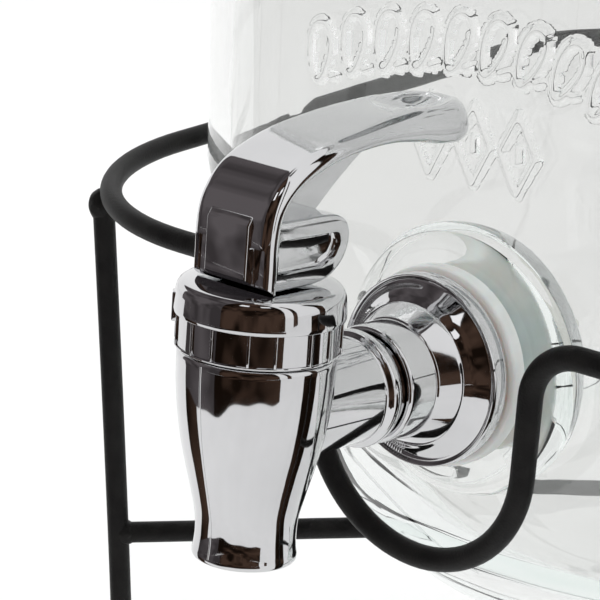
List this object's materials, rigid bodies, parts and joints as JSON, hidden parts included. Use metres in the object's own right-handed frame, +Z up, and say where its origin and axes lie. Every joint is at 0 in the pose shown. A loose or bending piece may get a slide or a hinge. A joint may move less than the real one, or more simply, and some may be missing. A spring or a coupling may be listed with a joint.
{
  "type": "countertop drink dispenser",
  "caption": "Rounded-square glass dispensing jar with a chromed lever tap and screw lid, standing in a black wire stand with a dip for the tap.",
  "frame": {"origin": "on the floor, at the middle of the footprint's bounding box", "axes": "+Z up, -Y the side that the tap points to, +X to the right when facing the tap"},
  "size_m": [0.244, 0.3031, 0.4033],
  "materials": {
    "black_wire": "satin black powder coat",
    "black_rubber": "matt",
    "clear_glass": "clear pressed glass, faint green in the thick base",
    "chrome": "mirror-bright chrome on moulded plastic",
    "silicone": "translucent white silicone",
    "white_nylon": "satin",
    "spring_steel": "bright drawn wire",
    "lid_steel": "satin tinplate"
  },
  "bodies": {
    "stand": {"stand_hoop": "black_wire", "leg_front_left": "black_wire", "leg_front_right": "black_wire", "leg_rear_right": "black_wire", "leg_rear_left": "black_wire", "crossbar_long": "black_wire", "crossbar_half_left": "black_wire", "crossbar_half_right": "black_wire", "foot_cap_front_left": "black_rubber", "foot_cap_front_right": "black_rubber", "foot_cap_rear_right": "black_rubber", "foot_cap_rear_left": "black_rubber"},
    "jar": {"glass_jar": "clear_glass", "tap_body": "chrome", "bonnet": "chrome", "bonnet_seal": "black_rubber", "escutcheon": "chrome", "outer_washer": "silicone", "inner_washer": "silicone", "lock_nut": "white_nylon", "return_spring": "spring_steel"},
    "stem": {"valve_stem": "white_nylon", "seat_cup": "silicone", "lever_pin": "spring_steel"},
    "lever": {"lever": "chrome"},
    "lid": {"lid_disc": "lid_steel", "lid_gasket": "silicone"},
    "band": {"lid_band": "lid_steel"}
  },
  "joints": [
    {"name": "jar_lift", "type": "slide", "parent": "stand", "child": "jar", "axis": [0, 0, 1], "range_m": [0, 0.12]},
    {"name": "lever_tilt", "type": "hinge", "parent": "stem", "child": "lever", "pos_m": [0, -0.13234, 0.23453], "axis": [1, 0, 0], "range_deg": [0, 26]},
    {"name": "stem_lift", "type": "slide", "parent": "jar", "child": "stem", "axis": [0, 0.1011, 0.9949], "range_m": [0, 0.0029], "stiffness_N_per_m": 400, "springref_m": -0.005, "deforming": ["return_spring"]},
    {"name": "lid_lift", "type": "slide", "parent": "jar", "child": "lid", "axis": [0, 0, 1], "range_m": [0, 0.05]},
    {"name": "band_turn", "type": "hinge", "parent": "lid", "child": "band", "pos_m": [0, 0.03139, 0.39], "axis": [0, 0, 1], "continuous": true}
  ],
  "couplings": [
    {"joint": "lever_tilt", "follows": "stem_lift", "rad_per_m": 156.25}
  ]
}
